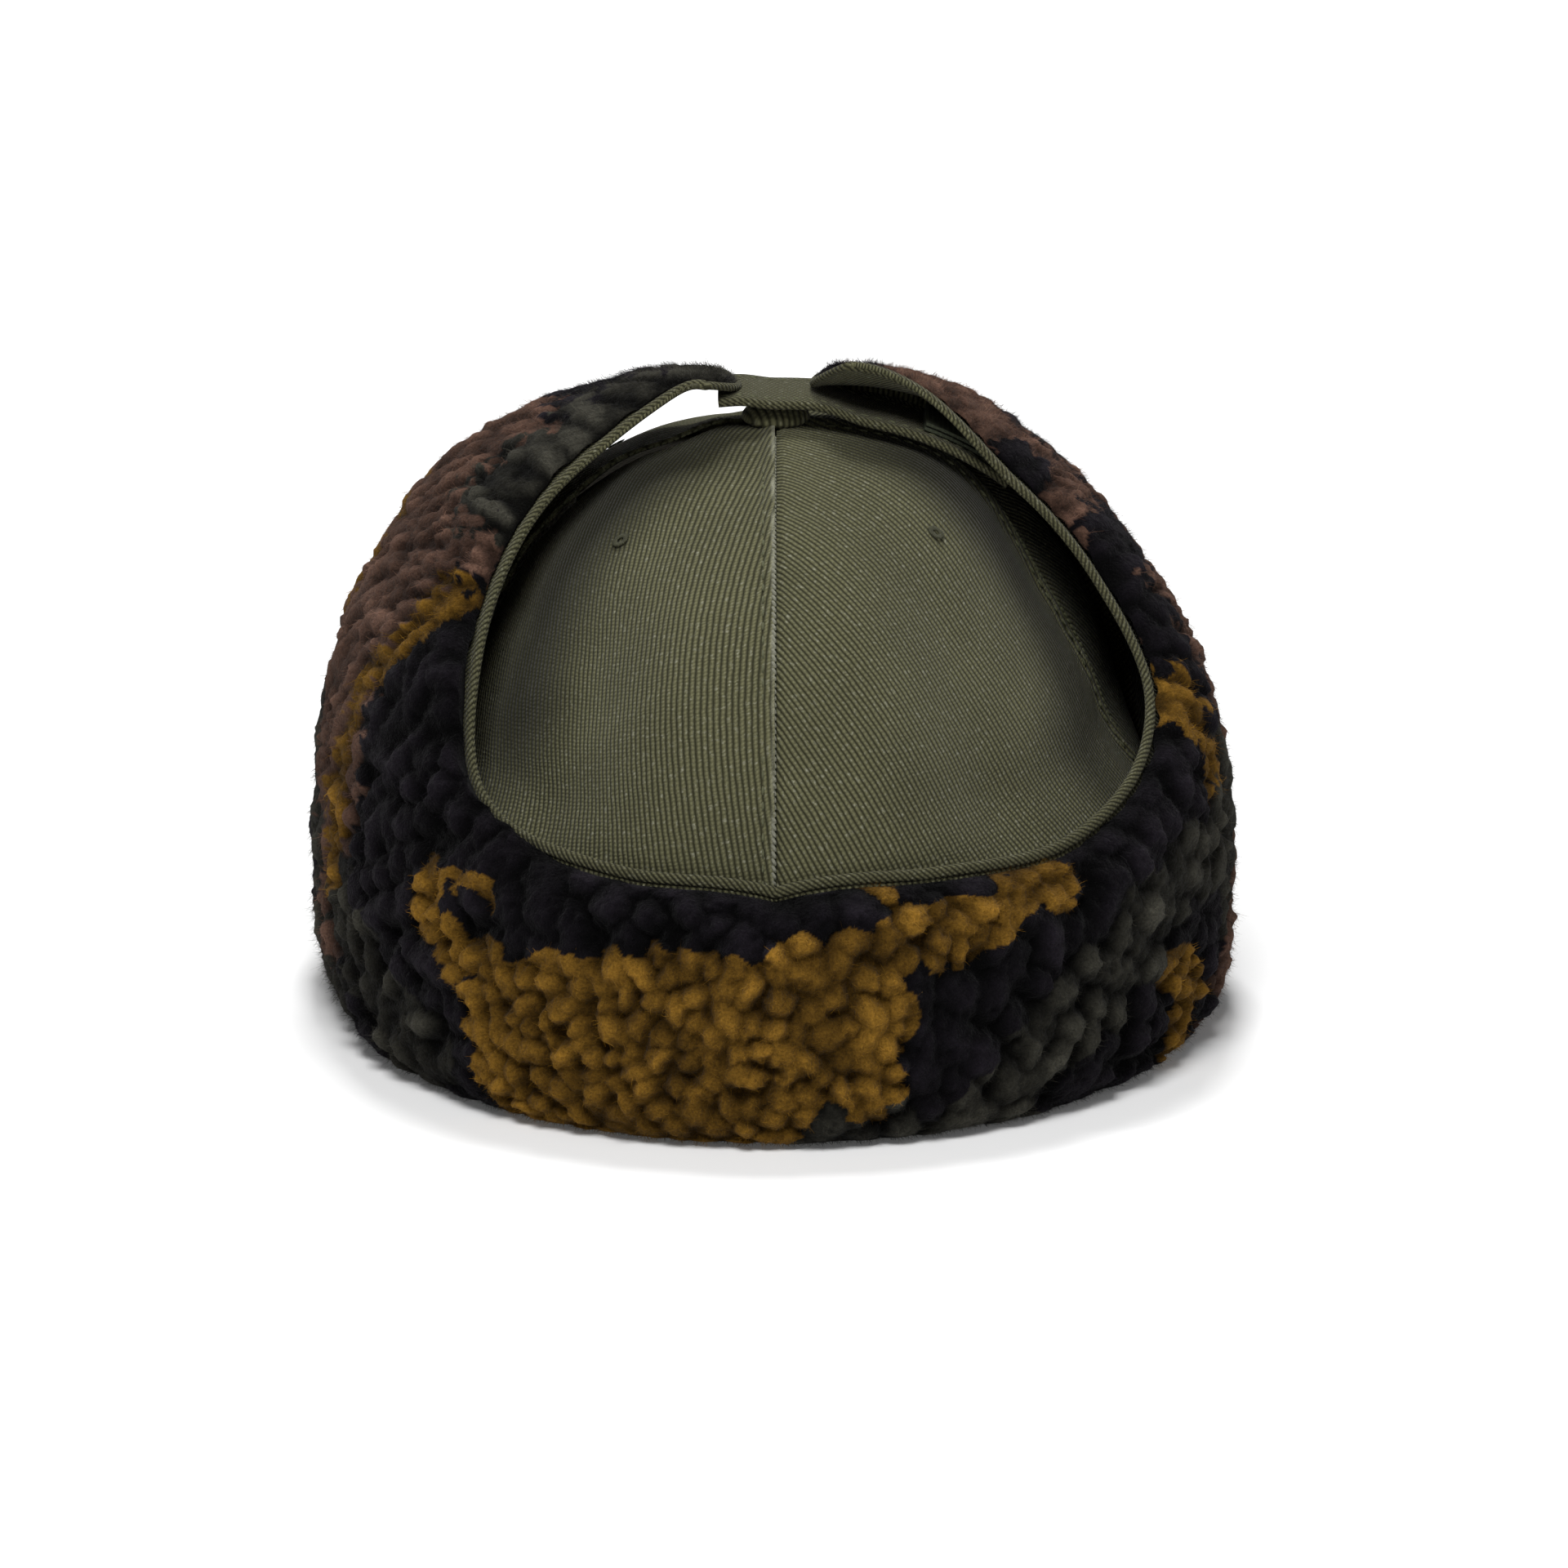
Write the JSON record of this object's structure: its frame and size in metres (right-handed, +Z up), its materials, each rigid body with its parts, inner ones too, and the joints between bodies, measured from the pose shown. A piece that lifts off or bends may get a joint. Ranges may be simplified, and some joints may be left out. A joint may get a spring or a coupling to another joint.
{
  "type": "trapper hat",
  "caption": "Twill trapper hat with a visor and a camouflage fleece cuff turned up round it, its ears folded over the crown and strapped together.",
  "frame": {"origin": "centre of the head opening, level with the floor the hat stands on", "axes": "+Z up through the crown's button, -Y to the visor, +X to the wearer's left"},
  "size_m": [0.1997, 0.2905, 0.1548],
  "materials": {
    "twill": "brushed cotton twill",
    "tape": "woven tape",
    "thread": "satin stitch",
    "buckram": "stiffened open weave",
    "sweatband": "cotton twill",
    "board": "smooth",
    "fleece": "nubbed sherpa fleece in four camouflage colours",
    "rivet": "stamped",
    "hook_and_loop": "hook and loop"
  },
  "bodies": {
    "crown": {"back_left_panel": "twill", "back_right_panel": "twill", "front_right_panel": "twill", "front_left_panel": "twill", "crown_button": "twill", "visor_upper_cloth": "twill", "visor_under_cloth": "twill", "neck_shell": "twill", "back_seam_tape": "tape", "right_seam_tape": "tape", "front_seam_tape": "tape", "left_seam_tape": "tape", "cuff_seam_binding": "tape", "back_left_eyelet": "thread", "back_right_eyelet": "thread", "front_right_eyelet": "thread", "front_left_eyelet": "thread", "front_right_buckram": "buckram", "front_left_buckram": "buckram", "neck_fleece": "fleece", "sweatband": "sweatband", "visor_board": "board", "button_rivet": "rivet"},
    "left_ear": {"left_ear_shell": "twill", "left_ear_fleece": "fleece", "closure_strap": "twill", "hook_patch": "hook_and_loop"},
    "right_ear": {"right_ear_shell": "twill", "right_ear_fleece": "fleece", "loop_patch": "hook_and_loop"}
  },
  "joints": [
    {"name": "left_ear_fold", "type": "hinge", "parent": "crown", "child": "left_ear", "pos_m": [0.0871, 0, 0], "axis": [0, 1, 0], "range_deg": [0, 165]},
    {"name": "right_ear_fold", "type": "hinge", "parent": "crown", "child": "right_ear", "pos_m": [-0.0871, 0, 0], "axis": [0, -1, 0], "range_deg": [0, 165]}
  ],
  "couplings": [
    {"joint": "right_ear_fold", "follows": "left_ear_fold", "ratio": 1}
  ]
}
